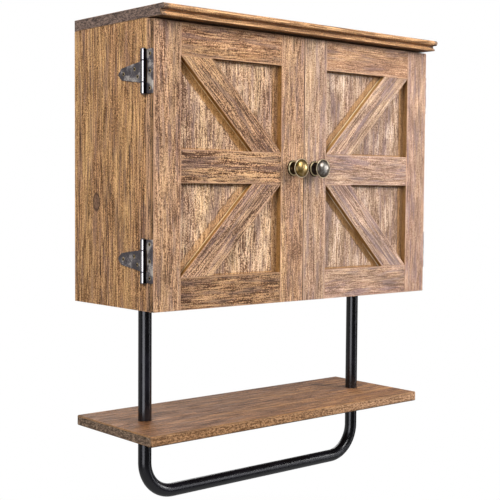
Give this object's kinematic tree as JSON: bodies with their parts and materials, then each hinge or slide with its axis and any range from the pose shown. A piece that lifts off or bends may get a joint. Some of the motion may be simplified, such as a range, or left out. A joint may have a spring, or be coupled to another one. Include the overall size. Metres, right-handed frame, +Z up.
{
  "type": "hanging wall cabinet",
  "caption": "Wall-hung wooden cabinet with barn-style braced doors on T hinges, an inner shelf, an open shelf below and a bent black tube towel bar.",
  "frame": {"origin": "middle of the hanging rail's rear face, which lies against the wall", "axes": "+Z up, +X to the right seen from the front, +Y into the wall; the doors face -Y"},
  "size_m": [0.5782, 0.2276, 0.715],
  "materials": {
    "case_wood": "rustic brown stain, brushed grain",
    "door_wood": "pinkish brown stain with dark streaks, brushed grain",
    "panel_wood": "paler weathered boards with dark vertical streaks",
    "shelf_wood": "rustic brown stain, brushed grain",
    "black_tube": "satin black powder coat",
    "dark_steel": "antique pewter, worn, with blackened barrels",
    "zinc_steel": "zinc plated",
    "antique_brass": "antique brass, polished dome with darkened hollows",
    "catch_plastic": "brown moulded"
  },
  "bodies": {
    "case": {"side_panel_left": "case_wood", "side_panel_right": "case_wood", "top_board": "case_wood", "bottom_board": "case_wood", "back_panel": "case_wood", "hanging_rail": "case_wood", "lower_back_rail": "case_wood", "hanger_plate_left": "zinc_steel", "hanger_plate_right": "zinc_steel", "inner_shelf": "shelf_wood", "shelf_pin_front_left": "zinc_steel", "shelf_pin_front_right": "zinc_steel", "shelf_pin_rear_left": "zinc_steel", "shelf_pin_rear_right": "zinc_steel", "magnetic_catch_left": "catch_plastic", "magnetic_catch_right": "catch_plastic", "lower_shelf": "shelf_wood", "shelf_collar_left": "black_tube", "shelf_collar_right": "black_tube", "towel_bar_frame": "black_tube", "tube_plug_left": "zinc_steel", "tube_plug_right": "zinc_steel", "bar_bolt_left": "zinc_steel", "bar_bolt_right": "zinc_steel", "hinge_strap_lower_left": "dark_steel", "hinge_pin_lower_left": "dark_steel", "hinge_strap_upper_left": "dark_steel", "hinge_pin_upper_left": "dark_steel", "hinge_strap_lower_right": "dark_steel", "hinge_pin_lower_right": "dark_steel", "hinge_strap_upper_right": "dark_steel", "hinge_pin_upper_right": "dark_steel"},
    "left_door": {"outer_stile_left": "door_wood", "inner_stile_left": "door_wood", "top_rail_left": "door_wood", "mid_rail_left": "door_wood", "bottom_rail_left": "door_wood", "door_panel_left": "panel_wood", "upper_brace_left": "door_wood", "lower_brace_left": "door_wood", "knob_left": "antique_brass", "knob_screw_left": "zinc_steel", "strike_plate_left": "zinc_steel", "hinge_plate_lower_left": "dark_steel", "hinge_plate_upper_left": "dark_steel"},
    "right_door": {"outer_stile_right": "door_wood", "inner_stile_right": "door_wood", "top_rail_right": "door_wood", "mid_rail_right": "door_wood", "bottom_rail_right": "door_wood", "door_panel_right": "panel_wood", "upper_brace_right": "door_wood", "lower_brace_right": "door_wood", "knob_right": "antique_brass", "knob_screw_right": "zinc_steel", "strike_plate_right": "zinc_steel", "hinge_plate_lower_right": "dark_steel", "hinge_plate_upper_right": "dark_steel"}
  },
  "joints": [
    {"name": "left_door_hinge", "type": "hinge", "parent": "case", "child": "left_door", "pos_m": [-0.2847, -0.1845, -0.177], "axis": [0, 0, -1], "range_deg": [0, 175]},
    {"name": "right_door_hinge", "type": "hinge", "parent": "case", "child": "right_door", "pos_m": [0.2847, -0.1845, -0.177], "axis": [0, 0, 1], "range_deg": [0, 175]}
  ]
}
